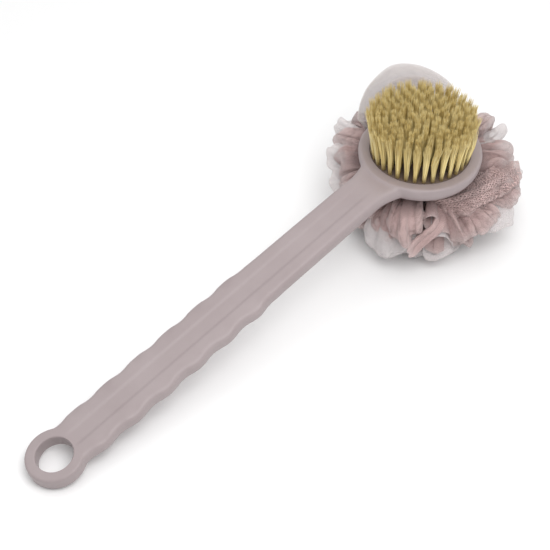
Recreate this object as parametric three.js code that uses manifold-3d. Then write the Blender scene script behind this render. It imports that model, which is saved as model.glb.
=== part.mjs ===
// Long-handled back scrubber: a moulded plastic handle with a wavy grip and a hanging hole,
// a round head tufted with bristles on one face and a gathered net pouf tied to the other.
//
// Frame: millimetres, +Z up. The brush lies as it is put down: the hanging ring and the pouf touch
// the ground, the head is level with its bristles up, and +X runs from the ring towards the head.
// The origin is the middle of the bounding box, at ground level.

import * as THREE from 'three';
import { ParametricGeometry } from 'three/addons/geometries/ParametricGeometry.js';
import { mergeVertices } from 'three/addons/utils/BufferGeometryUtils.js';
import Module from 'manifold-3d';

const wasm = await Module();
wasm.setup();

// ---- Driving dimensions -------------------------------------------------------------------------

const GAP = 0.3;                    // clearance left between pieces that touch

// Head. Heights in the head are measured down from the crest of the rim.
const HEAD_RADIUS = 39;
const HEAD_DEPTH = 14;
const RIM_CREST_RADIUS = 37.4;
const RIM_EDGE_RADIUS = 1.6;
const HEAD_BACK_RADIUS = 27;        // flat round of the head's back
const CUP_RADIUS = 31.9;            // recess that takes the bristle plate
const CUP_SHOULDER = 0.6;           // depth of the plate's face below the crest
const PLATE_THICKNESS = 3.6;
const CAVITY_RADIUS = 24;           // room behind the plate for the knot
const HEAD_FLOOR = 2.7;             // thickness of the head's back
const CORD_HOLE_RADIUS = 2.6;

// Handle.
const RING_DISTANCE = 297.5;        // head centre to hanging ring centre, along the handle
const HANDLE_BEND = THREE.MathUtils.degToRad(12);
const BEND_RADIUS = 230;            // radius of the soft bend behind the head
const BEND_CENTRE = 39;             // where the two straight runs would meet
const RING_RADIUS = 17.6;
const HANGING_HOLE_RADIUS = 11.1;
const HOLE_EDGE_RADIUS = 0.9;
const RING_THICKNESS = 9;
const RING_EDGE_RADIUS = 1.4;
const GRIP_THICKNESS = 9.6;
const NECK_THICKNESS = 9.6;
const SHAFT_HALF_WIDTH = 14.2;
const GRIP_HALF_WIDTH = 15.4;       // mean of the wavy stretch
const NECK_HALF_WIDTH = 13.6;
const NECK_FLARE = 3.4;             // how much each side widens where the neck meets the head
const WAVE_PITCH = 23.6;
const WAVE_HEIGHT = 0.85;           // half of crest to trough, on each side
const FIRST_CREST = 25.4;           // from the ring centre
const WAVE_COUNT = 6;
const EDGE_RADIUS = 3.2;
const CHANNEL_HALF_WIDTH = 6.4;     // shallow channel along the top of the handle
const CHANNEL_SLOPE = 1.6;
const CHANNEL_DEPTH = 0.9;

// Bristles. Tufts stand in concentric rows.
const ROW_COUNT = 7;
const OUTER_ROW_RADIUS = 30.0;
const TUFTS_IN_OUTER_ROW = 34;
const TUFT_ROOT_RADIUS = 1.35;
const TUFT_TIP_RADIUS = 2.0;        // a tuft fans out towards its blunt end
const TUFT_LENGTH = 30.1;
const TUFT_SPLAY = 3.5;             // how far the outer row leans out at the tips
const ROOT_RING_HEIGHT = 0.9;
const ROOT_RING_HALF_WIDTH = 0.7;

// Pouf and its cord. The pouf fills the space between the head's back and the ground.
const POUF_RADIUS = 65;
const SKIRT_SHARE = 0.66;           // reach of each tier, as a share of the pouf's radius
const LOWER_SHARE = 0.87;
const UPPER_SHARE = 0.97;
const COLLAR_RISE = 17;             // how far the white ruffle stands above the rim, and the coarse one
const BAND_RISE = 1;
const POUF_LOBES = 9;
const LOBE_DEPTH = 0.07;            // share of the radius
const CORE_RADIUS = 11;
const CORE_WAIST_RADIUS = 8.6;
const CORD_RADIUS = 1.4;
const KNOT_RADIUS = 2.8;
const WASHER_RADIUS = 8;
const WASHER_THICKNESS = 1.2;
const CINCH_RADIUS = 1.1;

// ---- Materials ----------------------------------------------------------------------------------

function finish(color, roughness) {
  return new THREE.MeshStandardMaterial({ color, roughness, metalness: 0 });
}

const mauvePlastic = finish('#bfb1b4', 0.5);
const platePlastic = finish('#8f7d78', 0.6);
const creamNylon = finish('#d9c887', 0.45);
const mauveNet = finish('#c3a5a6', 0.8);
const whiteNet = finish('#e6e0df', 0.7);
const cordFibre = finish('#d8cdcd', 0.8);
const washerPlastic = finish('#e8e4e0', 0.5);

// ---- Solids -------------------------------------------------------------------------------------

function toSolid(geometry) {
  const bare = geometry.index ? geometry.clone() : geometry;
  bare.deleteAttribute('normal');
  bare.deleteAttribute('uv');
  const merged = mergeVertices(bare, 1e-4);
  const mesh = new wasm.Mesh({
    numProp: 3,
    vertProperties: new Float32Array(merged.attributes.position.array),
    triVerts: new Uint32Array(merged.index.array),
  });
  return new wasm.Manifold(mesh);
}

function toGeometry(solid) {
  const mesh = solid.getMesh();
  const geometry = new THREE.BufferGeometry();
  geometry.setAttribute('position', new THREE.BufferAttribute(new Float32Array(mesh.vertProperties), 3));
  geometry.setIndex(new THREE.BufferAttribute(new Uint32Array(mesh.triVerts), 1));
  geometry.computeVertexNormals();
  return geometry;
}

function cleaned(geometry) {
  return toGeometry(toSolid(geometry));
}

function namedMesh(name, geometry, material) {
  const mesh = new THREE.Mesh(geometry, material);
  mesh.name = name;
  return mesh;
}

// A solid of revolution about +Z from [radius, height] pairs.
function turned(profile, segments) {
  const points = profile.map(([radius, height]) => new THREE.Vector2(radius, height));
  return new THREE.LatheGeometry(points, segments).rotateX(Math.PI / 2);
}

// Points of a quarter round from one angle to another, as [radius, height] pairs.
function arcPoints(centreRadius, centreHeight, radius, fromDegrees, toDegrees, steps) {
  const points = [];
  for (let step = 0; step <= steps; step += 1) {
    const angle = THREE.MathUtils.degToRad(fromDegrees + ((toDegrees - fromDegrees) * step) / steps);
    points.push([centreRadius + radius * Math.cos(angle), centreHeight + radius * Math.sin(angle)]);
  }
  return points;
}

// ---- Handle centreline ---------------------------------------------------------------------------
// Side view of the handle's upper face: level under the head, a soft bend, then straight to the ring.

const BEND_REACH = BEND_RADIUS * Math.tan(HANDLE_BEND / 2);
const BEND_START = BEND_CENTRE - BEND_REACH;
const BEND_LENGTH = BEND_RADIUS * HANDLE_BEND;

// Returns the point and the slope of the upper face at a distance from the head's centre.
function upperFace(distance) {
  const turnedSoFar = THREE.MathUtils.clamp((distance - BEND_START) / BEND_RADIUS, 0, HANDLE_BEND);
  const straight = Math.max(0, distance - BEND_START - BEND_LENGTH);
  const lead = Math.min(distance, BEND_START);
  const reach = lead + BEND_RADIUS * Math.sin(turnedSoFar) + straight * Math.cos(HANDLE_BEND);
  const drop = BEND_RADIUS * (1 - Math.cos(turnedSoFar)) + straight * Math.sin(HANDLE_BEND);
  return { x: -reach, z: -drop, slope: turnedSoFar };
}

// Width and thickness of the handle at a distance from the ring's centre.
const WAVE_END = FIRST_CREST + WAVE_PITCH * (WAVE_COUNT - 0.5);
const NECK_END = RING_DISTANCE - HEAD_RADIUS;

function handleHalfWidth(fromRing) {
  const { smoothstep, lerp } = THREE.MathUtils;
  const fade = 1 - smoothstep(fromRing, WAVE_END - WAVE_PITCH / 2, WAVE_END + WAVE_PITCH / 2);
  const mean = lerp(SHAFT_HALF_WIDTH, GRIP_HALF_WIDTH, fade);
  const wave = WAVE_HEIGHT * Math.cos((2 * Math.PI * (fromRing - FIRST_CREST)) / WAVE_PITCH) * fade;
  const neck = smoothstep(fromRing, WAVE_END, NECK_END) * (SHAFT_HALF_WIDTH - NECK_HALF_WIDTH);
  const flare = NECK_FLARE * smoothstep(fromRing, NECK_END - 16, NECK_END + 6) ** 2;
  return mean + wave - neck + flare;
}

function handleThickness(fromRing) {
  const { smoothstep, lerp } = THREE.MathUtils;
  const grip = lerp(RING_THICKNESS, GRIP_THICKNESS, smoothstep(fromRing, RING_RADIUS, 60));
  return lerp(grip, NECK_THICKNESS, smoothstep(fromRing, WAVE_END, NECK_END));
}

function channelDepth(fromRing) {
  const { smoothstep } = THREE.MathUtils;
  const start = smoothstep(fromRing, RING_RADIUS - 4, RING_RADIUS + 8);
  const end = 1 - smoothstep(fromRing, NECK_END - 26, NECK_END - 4);
  return CHANNEL_DEPTH * start * end;
}

// Outline of the handle's cross-section, as [sideways, down] pairs, clockwise from the channel.
function handleSection(halfWidth, thickness, depth) {
  const inner = halfWidth - EDGE_RADIUS;
  const lower = thickness - EDGE_RADIUS;
  const channel = CHANNEL_HALF_WIDTH;
  const floor = CHANNEL_HALF_WIDTH - CHANNEL_SLOPE;
  const side = [
    [floor, depth],
    [channel, 0],
    ...arcPoints(inner, EDGE_RADIUS, EDGE_RADIUS, -90, 0, 3),
    ...arcPoints(inner, lower, EDGE_RADIUS, 0, 90, 3),
  ];
  const mirrored = side.map(([across, down]) => [-across, down]).reverse();
  return [...side, ...mirrored];
}

const SECTION_POINTS = handleSection(GRIP_HALF_WIDTH, GRIP_THICKNESS, 0).length;

// Loft from inside the head's wall to inside the ring, closed by a point at each end.
function handleBar() {
  const firstStation = HEAD_RADIUS - 8;
  const lastStation = RING_DISTANCE - HANGING_HOLE_RADIUS + 4;
  const steps = 60;
  const place = (u, v, target) => {
    const station = THREE.MathUtils.clamp(Math.round(v * (steps + 2)) - 1, 0, steps);
    const capped = v === 0 || v === 1;
    const distance = firstStation + ((lastStation - firstStation) * station) / steps;
    const fromRing = RING_DISTANCE - distance;
    const thickness = handleThickness(fromRing);
    const outline = handleSection(handleHalfWidth(fromRing), thickness, channelDepth(fromRing));
    const corner = outline[Math.round(u * SECTION_POINTS) % SECTION_POINTS];
    const [across, down] = capped ? [0, thickness / 2] : corner;
    const face = upperFace(distance);
    const shift = down * Math.sin(face.slope);
    target.set(face.x + shift, across, face.z - down * Math.cos(face.slope));
  };
  return new ParametricGeometry(place, SECTION_POINTS, steps + 2);
}

// Places a turned piece, drawn with its upper face at zero, at the ring's centre.
function atRing(geometry) {
  const face = upperFace(RING_DISTANCE);
  return geometry.rotateY(-face.slope).translate(face.x, 0, face.z);
}

function ringDisc() {
  const round = RING_EDGE_RADIUS;
  const edge = RING_RADIUS - round;
  return atRing(turned([
    [0, -RING_THICKNESS],
    ...arcPoints(edge, -RING_THICKNESS + round, round, -90, 0, 3),
    ...arcPoints(edge, -round, round, 0, 90, 3),
    [0, 0],
  ], 36));
}

// Cutter for the hanging hole, flared at both faces so that the hole's edges come out rounded.
function hangingHoleCutter() {
  const round = HOLE_EDGE_RADIUS;
  const outside = HANGING_HOLE_RADIUS + round;
  const over = 1;
  return atRing(turned([
    [0, -RING_THICKNESS - over],
    [outside, -RING_THICKNESS - over],
    ...arcPoints(outside, -RING_THICKNESS + round, -round, 90, 0, 3),
    ...arcPoints(outside, -round, -round, 0, -90, 3),
    [outside, over],
    [0, over],
  ], 36));
}

function headBowl() {
  const crestOut = HEAD_RADIUS - RIM_EDGE_RADIUS;
  const slopeTop = [CUP_RADIUS + 1.2, -CUP_SHOULDER * 0.6];
  return turned([
    [0, -HEAD_DEPTH],
    [HEAD_BACK_RADIUS, -HEAD_DEPTH],
    [HEAD_RADIUS - 6.5, -HEAD_DEPTH + 1.3],
    [HEAD_RADIUS - 2.4, -HEAD_DEPTH + 3.8],
    [HEAD_RADIUS - 0.5, -HEAD_DEPTH + 7.4],
    ...arcPoints(crestOut, -RIM_EDGE_RADIUS, RIM_EDGE_RADIUS, 0, 90, 3),
    [RIM_CREST_RADIUS - 0.9, -0.15],
    slopeTop,
    [CUP_RADIUS, -CUP_SHOULDER],
    [0, -CUP_SHOULDER],
  ], 44);
}

// Everything that is hollow inside the head: plate recess, knot room and the cord hole.
function headHollow() {
  const ledge = -CUP_SHOULDER - PLATE_THICKNESS - GAP;
  const floor = -HEAD_DEPTH + HEAD_FLOOR;
  return turned([
    [0, -HEAD_DEPTH - 1],
    [CORD_HOLE_RADIUS, -HEAD_DEPTH - 1],
    [CORD_HOLE_RADIUS, floor],
    [CAVITY_RADIUS, floor],
    [CAVITY_RADIUS, ledge],
    [CUP_RADIUS, ledge],
    [CUP_RADIUS, 2],
    [0, 2],
  ], 44);
}

function handle() {
  const solid = toSolid(handleBar())
    .add(toSolid(ringDisc()))
    .add(toSolid(headBowl()))
    .subtract(toSolid(headHollow()))
    .subtract(toSolid(hangingHoleCutter()));
  return namedMesh('handle', toGeometry(solid), mauvePlastic);
}

// ---- Bristles ------------------------------------------------------------------------------------

function bristlePlate() {
  const top = -CUP_SHOULDER;
  const bottom = top - PLATE_THICKNESS;
  const radius = CUP_RADIUS - GAP;
  const geometry = turned([[0, bottom], [radius, bottom], [radius, top], [0, top]], 48);
  return namedMesh('bristle_plate', cleaned(geometry), platePlastic);
}

// One tuft standing at a radius and an angle, leaning out by a share of the outer splay.
function tuft(radius, angle, splay) {
  const stem = turned([
    [0, 0],
    [TUFT_ROOT_RADIUS, 0],
    [TUFT_TIP_RADIUS, TUFT_LENGTH * 0.93],
    [TUFT_TIP_RADIUS * 0.55, TUFT_LENGTH],
    [0, TUFT_LENGTH],
  ], 4);
  return stem
    .rotateY(Math.atan2(splay, TUFT_LENGTH))
    .translate(radius, 0, -CUP_SHOULDER + GAP + ROOT_RING_HEIGHT / 2)
    .rotateZ(angle);
}

// One concentric row: its tufts joined at the roots by a thin ring lying on the plate.
function bristleRow(row) {
  const radius = (OUTER_ROW_RADIUS * row) / ROW_COUNT;
  const count = Math.round((TUFTS_IN_OUTER_ROW * row) / ROW_COUNT);
  const splay = (TUFT_SPLAY * row) / ROW_COUNT;
  const bottom = -CUP_SHOULDER + GAP;
  const top = bottom + ROOT_RING_HEIGHT;
  let solid = toSolid(turned([
    [radius - ROOT_RING_HALF_WIDTH, bottom],
    [radius + ROOT_RING_HALF_WIDTH, bottom],
    [radius + ROOT_RING_HALF_WIDTH, top],
    [radius - ROOT_RING_HALF_WIDTH, top],
    [radius - ROOT_RING_HALF_WIDTH, bottom],
  ], Math.max(12, count)));
  for (let index = 0; index < count; index += 1) {
    const angle = (2 * Math.PI * (index + 0.5)) / count;
    solid = solid.add(toSolid(tuft(radius, angle, splay)));
  }
  return namedMesh(`bristle_row_${row}`, toGeometry(solid), creamNylon);
}

function bristles() {
  const group = new THREE.Group();
  const centreTuft = tuft(0, 0, 0).translate(0, 0, -ROOT_RING_HEIGHT / 2);
  group.add(namedMesh('bristle_tuft_centre', cleaned(centreTuft), creamNylon));
  for (let row = 1; row <= ROW_COUNT; row += 1) {
    group.add(bristleRow(row));
  }
  return group;
}

// ---- Heights -------------------------------------------------------------------------------------
// The lowest edge of the ring and the underside of the pouf both lie on the ground.

const RING_FACE = upperFace(RING_DISTANCE);
const RING_DROP = (RING_RADIUS - RING_EDGE_RADIUS) * Math.sin(HANDLE_BEND)
  + (RING_THICKNESS - RING_EDGE_RADIUS) * Math.cos(HANDLE_BEND) + RING_EDGE_RADIUS;
const HEAD_HEIGHT = RING_DROP - RING_FACE.z;
const HEAD_BACK = HEAD_HEIGHT - HEAD_DEPTH;

// ---- Pouf ----------------------------------------------------------------------------------------
// These pieces are placed from the ground up, about the head's axis.

const CINCH_HEIGHT = HEAD_BACK * 0.56;
const CORE_TOP = HEAD_BACK - GAP;
const CORE_BOTTOM = HEAD_BACK * 0.26;
const CORD_TOP = HEAD_BACK + HEAD_FLOOR + WASHER_THICKNESS + 2 * GAP;

// A ruffle of netting: a full ring of soft lobes. Its profile is a closed list of
// [share of the way out, height], counted from the inner radius to the outer one.
function ruffle(profile, inner, outer, phase) {
  const around = 54;
  const place = (u, v, target) => {
    const angle = 2 * Math.PI * u;
    const [share, height] = profile[Math.round(v * profile.length) % profile.length];
    const lobe = 1 + LOBE_DEPTH * (Math.cos(POUF_LOBES * angle + phase) - 1) * share;
    const radius = inner + (outer - inner) * share * lobe;
    target.set(radius * Math.cos(angle), radius * Math.sin(angle), height);
  };
  return new ParametricGeometry(place, around, profile.length);
}

// The mean of a profile's corners, where an end of a partial ruffle comes to a point.
function profileMiddle(profile) {
  const mean = (index) => profile.reduce((sum, corner) => sum + corner[index], 0) / profile.length;
  return [mean(0), mean(1)];
}

// A standing ruffle beside the head: an arc of lobes between two angles, closed at both ends.
function standingRuffle(profile, inner, outer, fromDegrees, toDegrees, lobes) {
  const around = Math.ceil((toDegrees - fromDegrees) / 7);
  const middle = profileMiddle(profile);
  const base = profile[0][1];
  const place = (u, v, target) => {
    const step = THREE.MathUtils.clamp(Math.round(u * (around + 2)) - 1, 0, around);
    const along = step / around;
    const capped = u === 0 || u === 1;
    const [share, height] = capped ? middle : profile[Math.round(v * profile.length) % profile.length];
    const angle = THREE.MathUtils.degToRad(fromDegrees + (toDegrees - fromDegrees) * along);
    const swell = 1 - 0.06 * (1 + Math.cos(2 * Math.PI * lobes * along));
    const radius = inner + (outer - inner) * share;
    target.set(radius * Math.cos(angle), radius * Math.sin(angle), base + (height - base) * swell);
  };
  return new ParametricGeometry(place, around + 2, profile.length);
}

function gatheredCore() {
  const waist = CINCH_HEIGHT;
  const bore = CORD_RADIUS + GAP;
  const geometry = turned([
    [bore, CORE_BOTTOM],
    [CORE_RADIUS, CORE_BOTTOM + 1],
    [CORE_RADIUS, waist - 5],
    [CORE_WAIST_RADIUS, waist - CINCH_RADIUS - 0.6],
    [CORE_WAIST_RADIUS, waist + CINCH_RADIUS + 0.6],
    [CORE_RADIUS, waist + 5],
    [CORE_RADIUS, CORE_TOP - 1],
    [bore, CORE_TOP],
    [bore, CORE_BOTTOM],
  ], 24);
  return namedMesh('gathered_core', cleaned(geometry), mauveNet);
}

function cinchTie() {
  const centre = CORE_WAIST_RADIUS + CINCH_RADIUS + GAP;
  const section = arcPoints(centre, CINCH_HEIGHT, CINCH_RADIUS, 0, 360, 8);
  return namedMesh('cinch_tie', cleaned(turned(section, 24)), cordFibre);
}

function hangingCord() {
  const bottom = CORE_BOTTOM - GAP;
  const geometry = turned([[0, bottom], [CORD_RADIUS, bottom], [CORD_RADIUS, CORD_TOP], [0, CORD_TOP]], 12);
  return namedMesh('hanging_cord', cleaned(geometry), cordFibre);
}

// A pulled-tight stopper knot, drawn as the barrel that it fills.
function stopperKnot(name, bottom) {
  const height = KNOT_RADIUS * 1.15;
  const geometry = turned([
    [0, bottom],
    [KNOT_RADIUS * 0.7, bottom],
    [KNOT_RADIUS, bottom + height * 0.3],
    [KNOT_RADIUS, bottom + height * 0.7],
    [KNOT_RADIUS * 0.7, bottom + height],
    [0, bottom + height],
  ], 14);
  return namedMesh(name, cleaned(geometry), cordFibre);
}

function cordWasher() {
  const bottom = HEAD_BACK + HEAD_FLOOR + GAP;
  const top = bottom + WASHER_THICKNESS;
  const bore = CORD_RADIUS + GAP;
  const geometry = turned([
    [bore, bottom],
    [WASHER_RADIUS, bottom],
    [WASHER_RADIUS, top],
    [bore, top],
    [bore, bottom],
  ], 28);
  return namedMesh('cord_washer', cleaned(geometry), washerPlastic);
}

function pouf() {
  const group = new THREE.Group();
  const inner = CORE_RADIUS + GAP;
  const lowerSplit = HEAD_BACK * 0.3;
  const upperSplit = CINCH_HEIGHT;
  const shelf = HEAD_BACK - 6;
  const skirt = ruffle([
    [0, lowerSplit - GAP], [0, 9], [0.25, 0], [0.62, 0], [0.9, 5], [1, 11], [0.96, lowerSplit - GAP],
  ], 4 + inner, POUF_RADIUS * SKIRT_SHARE, 1.4);
  const lower = ruffle([
    [0, upperSplit - 2], [0, lowerSplit], [0.8, lowerSplit], [0.98, lowerSplit + 5],
    [1, upperSplit - 5], [0.93, upperSplit - GAP], [0.2, upperSplit - GAP],
  ], inner, POUF_RADIUS * LOWER_SHARE, 0);
  const upper = ruffle([
    [0, shelf], [0, upperSplit + 2], [0.2, upperSplit], [0.93, upperSplit],
    [1, upperSplit + 5], [0.98, shelf - 4], [0.86, shelf],
  ], inner, POUF_RADIUS * UPPER_SHARE, 0.9);
  const standing = (rise) => [
    [0, shelf + GAP], [0.72, shelf + GAP], [1, shelf + 8],
    [1, HEAD_HEIGHT + rise - 6], [0.7, HEAD_HEIGHT + rise], [0.3, HEAD_HEIGHT - 4],
  ];
  const clear = HEAD_RADIUS + 1.5;
  const collar = standingRuffle(standing(COLLAR_RISE), clear, POUF_RADIUS, 20, 110, 3);
  const band = standingRuffle(standing(BAND_RISE), clear, POUF_RADIUS, -122, 17, 4);
  group.add(
    gatheredCore(),
    cinchTie(),
    hangingCord(),
    stopperKnot('inner_knot', CORD_TOP + GAP),
    stopperKnot('outer_knot', CORE_BOTTOM - 2 * GAP - KNOT_RADIUS * 1.15),
    namedMesh('white_net_skirt', cleaned(skirt), whiteNet),
    namedMesh('mauve_net_lower', cleaned(lower), mauveNet),
    namedMesh('mauve_net_upper', cleaned(upper), mauveNet),
    namedMesh('white_net_collar', cleaned(collar), whiteNet),
    namedMesh('coarse_net_band', cleaned(band), mauveNet),
  );
  return group;
}

// ---- Assembly ------------------------------------------------------------------------------------

const head = new THREE.Group();
head.position.z = HEAD_HEIGHT;
head.add(handle(), bristlePlate(), bristles());

const brush = new THREE.Group();
brush.add(head, cordWasher(), pouf());

// Centres the bounding box on the origin, standing on the ground.
const box = new THREE.Box3().setFromObject(brush);
const middle = box.getCenter(new THREE.Vector3());
brush.position.set(-middle.x, -middle.y, -box.min.z);

export default brush;
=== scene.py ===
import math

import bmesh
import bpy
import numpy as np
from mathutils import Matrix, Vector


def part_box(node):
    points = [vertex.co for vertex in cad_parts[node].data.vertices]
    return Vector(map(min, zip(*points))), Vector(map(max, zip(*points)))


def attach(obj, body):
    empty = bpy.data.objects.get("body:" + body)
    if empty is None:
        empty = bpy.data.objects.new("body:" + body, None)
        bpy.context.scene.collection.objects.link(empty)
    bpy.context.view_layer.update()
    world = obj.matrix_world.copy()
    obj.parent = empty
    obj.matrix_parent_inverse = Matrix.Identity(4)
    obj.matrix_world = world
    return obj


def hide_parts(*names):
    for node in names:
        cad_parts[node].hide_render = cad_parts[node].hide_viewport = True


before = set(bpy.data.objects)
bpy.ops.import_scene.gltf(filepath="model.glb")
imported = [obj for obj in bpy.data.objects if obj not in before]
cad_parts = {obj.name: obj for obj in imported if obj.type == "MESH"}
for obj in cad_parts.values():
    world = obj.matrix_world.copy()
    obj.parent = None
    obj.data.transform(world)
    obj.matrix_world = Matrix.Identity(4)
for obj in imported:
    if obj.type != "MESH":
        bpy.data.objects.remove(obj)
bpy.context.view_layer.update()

# Long-handled back scrubber: a satin plastic handle with a wavy grip, a tufted head and a net pouf.
# Shapes are worked out in millimetres and become metres when a piece is made. Heights are counted from
# the crest of the rim in the head and the handle, and from the ground in the pouf. Azimuths are about
# the head's axis, from +X.

MM = 0.001

# ---- Where the frame puts things ---------------------------------------------

plate_low, plate_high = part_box("bristle_plate")
HEAD_X = (plate_low.x + plate_high.x) / 2 / MM
HEAD_Y = (plate_low.y + plate_high.y) / 2 / MM
CUP_SHOULDER = 0.6
CREST_Z = plate_high.z / MM + CUP_SHOULDER
HEAD_DEPTH = 14.0
HEAD_BACK_Z = CREST_Z - HEAD_DEPTH

# ---- Dimensions shared with the frame ----------------------------------------

HEAD_RADIUS = 39.0
RIM_CREST_RADIUS = 37.4
RIM_EDGE_RADIUS = 1.6
HEAD_BACK_RADIUS = 27.0
CUP_RADIUS = 31.9
PLATE_THICKNESS = 3.6
CAVITY_RADIUS = 24.0
HEAD_FLOOR = 2.7
CORD_HOLE_RADIUS = 2.6
GAP = 0.3

RING_DISTANCE = 297.5
HANDLE_BEND = math.radians(12)
BEND_RADIUS = 230.0
BEND_CENTRE = 39.0
RING_RADIUS = 17.6
HANGING_HOLE_RADIUS = 11.1
RING_THICKNESS = 9.0
RING_EDGE_RADIUS = 1.4
HOLE_EDGE_RADIUS = 0.9
GRIP_THICKNESS = 9.6
NECK_THICKNESS = 9.6
SHAFT_HALF_WIDTH = 14.2
GRIP_HALF_WIDTH = 15.4
NECK_HALF_WIDTH = 13.6
NECK_FLARE = 3.4
WAVE_PITCH = 23.6
WAVE_HEIGHT = 0.85
FIRST_CREST = 25.4
WAVE_COUNT = 6
EDGE_RADIUS = 3.2
CHANNEL_HALF_WIDTH = 6.4
CHANNEL_SLOPE = 2.8
CHANNEL_DEPTH = 0.95

ROW_COUNT = 7
OUTER_ROW_RADIUS = 30.0
TUFTS_IN_OUTER_ROW = 34
TUFT_ROOT_RADIUS = 1.35
TUFT_LENGTH = 30.1
TUFT_SPLAY = 3.5

CORE_BOTTOM = HEAD_BACK_Z * 0.26
CORE_TOP = HEAD_BACK_Z - GAP
CINCH_HEIGHT = HEAD_BACK_Z * 0.56

# ---- Camera, light and floor -------------------------------------------------

VIEW_AZIMUTH = math.radians(317.49)
VIEW_ELEVATION = math.radians(46.1)
VIEW_DISTANCE = 864.55
LENS = 98.18
VIEW_OFFSET = (-141.1, -19.05, 0.0)      # of the point looked at, from the middle of the rim


def add_camera():
    level = math.cos(VIEW_ELEVATION)
    back = Vector((
        math.sin(VIEW_AZIMUTH) * level,
        -math.cos(VIEW_AZIMUTH) * level,
        math.sin(VIEW_ELEVATION),
    ))
    target = Vector((HEAD_X, HEAD_Y, CREST_Z)) + Vector(VIEW_OFFSET)
    camera = bpy.data.objects.new("camera", bpy.data.cameras.new("camera"))
    camera.location = (target + back * VIEW_DISTANCE) * MM
    camera.rotation_mode = "QUATERNION"
    camera.rotation_quaternion = (-back).to_track_quat("-Z", "Y")
    camera.data.sensor_width = 36
    camera.data.lens = LENS
    camera.data.clip_start = 0.01
    camera.data.clip_end = 20
    bpy.context.scene.collection.objects.link(camera)
    bpy.context.scene.camera = camera


WORLD_STRENGTH = 0.66
KEY_OFFSET = (-170, -300, 540)           # of the softbox, from the middle of the rim
KEY_SIZE = 420
KEY_POWER = 2.1
TOP_DIRECTION = (0.15, 0.30, 1.4)
TOP_STRENGTH = 0.9
TOP_WIDTH = math.radians(80)             # a wide sun has soft shadows
FLOOR_REACH = 6.0                        # in metres
FLOOR_DROP = 0.0002


def add_light(name, kind, direction, energy):
    """A light that shines from a direction. Returns the light and the object that holds it."""
    light = bpy.data.lights.new(name, kind)
    light.energy = energy
    holder = bpy.data.objects.new(name, light)
    holder.rotation_mode = "QUATERNION"
    holder.rotation_quaternion = Vector(direction).to_track_quat("Z", "Y")
    bpy.context.scene.collection.objects.link(holder)
    return light, holder


def add_lights():
    world = bpy.data.worlds.new("studio")
    world.use_nodes = True
    backdrop = world.node_tree.nodes["Background"]
    backdrop.inputs["Color"].default_value = (1.0, 1.0, 1.0, 1)
    backdrop.inputs["Strength"].default_value = WORLD_STRENGTH
    bpy.context.scene.world = world
    key, holder = add_light("key", "AREA", KEY_OFFSET, KEY_POWER)
    key.shape = "SQUARE"
    key.size = KEY_SIZE * MM
    holder.location = (Vector((HEAD_X, HEAD_Y, CREST_Z)) + Vector(KEY_OFFSET)) * MM
    top, _ = add_light("top", "SUN", TOP_DIRECTION, TOP_STRENGTH)
    top.angle = TOP_WIDTH


def add_floor():
    corners = [(-1, -1, 0), (1, -1, 0), (1, 1, 0), (-1, 1, 0)]
    floor = make_object("floor", corners, [(0, 1, 2, 3)], FLOOR_REACH)
    floor.location.z = -FLOOR_DROP
    dress(floor, floor_material())


# ---- Materials ---------------------------------------------------------------

def new_material(name, roughness):
    material = bpy.data.materials.new(name)
    material.use_nodes = True
    shader = material.node_tree.nodes["Principled BSDF"]
    shader.inputs["Roughness"].default_value = roughness
    return material, shader


def node(material, kind, settings=None, **inputs):
    made = material.node_tree.nodes.new(kind)
    for key, value in (settings or {}).items():
        setattr(made, key, value)
    for key, value in inputs.items():
        made.inputs[key.replace("_", " ")].default_value = value
    return made


def link(source, output, target, socket):
    source.id_data.links.new(source.outputs[output], target.inputs[socket])


def object_noise(material, scale, detail, roughness=0.5):
    """A cloudy pattern that is fixed to the piece."""
    place = node(material, "ShaderNodeTexCoord")
    noise = node(material, "ShaderNodeTexNoise", Scale=scale, Detail=detail, Roughness=roughness)
    link(place, "Object", noise, "Vector")
    return noise


def attribute(material, name):
    return node(material, "ShaderNodeAttribute", {"attribute_name": name})


def remapped(material, source, output, low, high, start=0.0, stop=1.0, **settings):
    """The source's range from low to high, stretched to run from start to stop."""
    made = node(material, "ShaderNodeMapRange", settings,
                From_Min=low, From_Max=high, To_Min=start, To_Max=stop)
    link(source, output, made, "Value")
    return made


def combined(material, operation, first, second):
    """A maths node that takes the values of two others, each given as (node, output)."""
    made = node(material, "ShaderNodeMath", {"operation": operation})
    for index, (source, output) in enumerate((first, second)):
        link(source, output, made, index)
    return made


def ramp(material, source, output, stops):
    made = node(material, "ShaderNodeValToRGB")
    elements = made.color_ramp.elements
    while len(elements) < len(stops):
        elements.new(0.5)
    for element, (position, colour) in zip(elements, stops):
        element.position = position
        element.color = (*colour, 1)
    link(source, output, made, "Fac")
    return made


def add_bump(material, shader, source, output, strength, distance):
    bump = node(material, "ShaderNodeBump", Strength=strength, Distance=distance)
    link(source, output, bump, "Height")
    link(bump, "Normal", shader, "Normal")


def floor_material():
    material, shader = new_material("floor_paper", 0.9)
    grain = object_noise(material, 3.0, 2.0)
    tint = ramp(material, grain, "Fac", [(0.3, (0.90, 0.90, 0.90)), (0.7, (0.92, 0.92, 0.92))])
    link(tint, "Color", shader, "Base Color")
    shader.inputs["Specular IOR Level"].default_value = 0.1
    return material


def handle_plastic():
    material, shader = new_material("handle_plastic", 0.42)
    cloud = object_noise(material, 26.0, 4.0, 0.6)
    tint = ramp(material, cloud, "Fac", [
        (0.28, (0.318, 0.262, 0.265)),
        (0.55, (0.342, 0.286, 0.289)),
        (0.80, (0.364, 0.308, 0.311)),
    ])
    link(tint, "Color", shader, "Base Color")
    gloss = remapped(material, cloud, "Fac", 0.3, 0.7, 0.38, 0.47)
    link(gloss, "Result", shader, "Roughness")
    add_bump(material, shader, object_noise(material, 900.0, 3.0, 0.6), "Fac", 0.12, 0.0002)
    shader.inputs["Specular IOR Level"].default_value = 0.42
    return material


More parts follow.
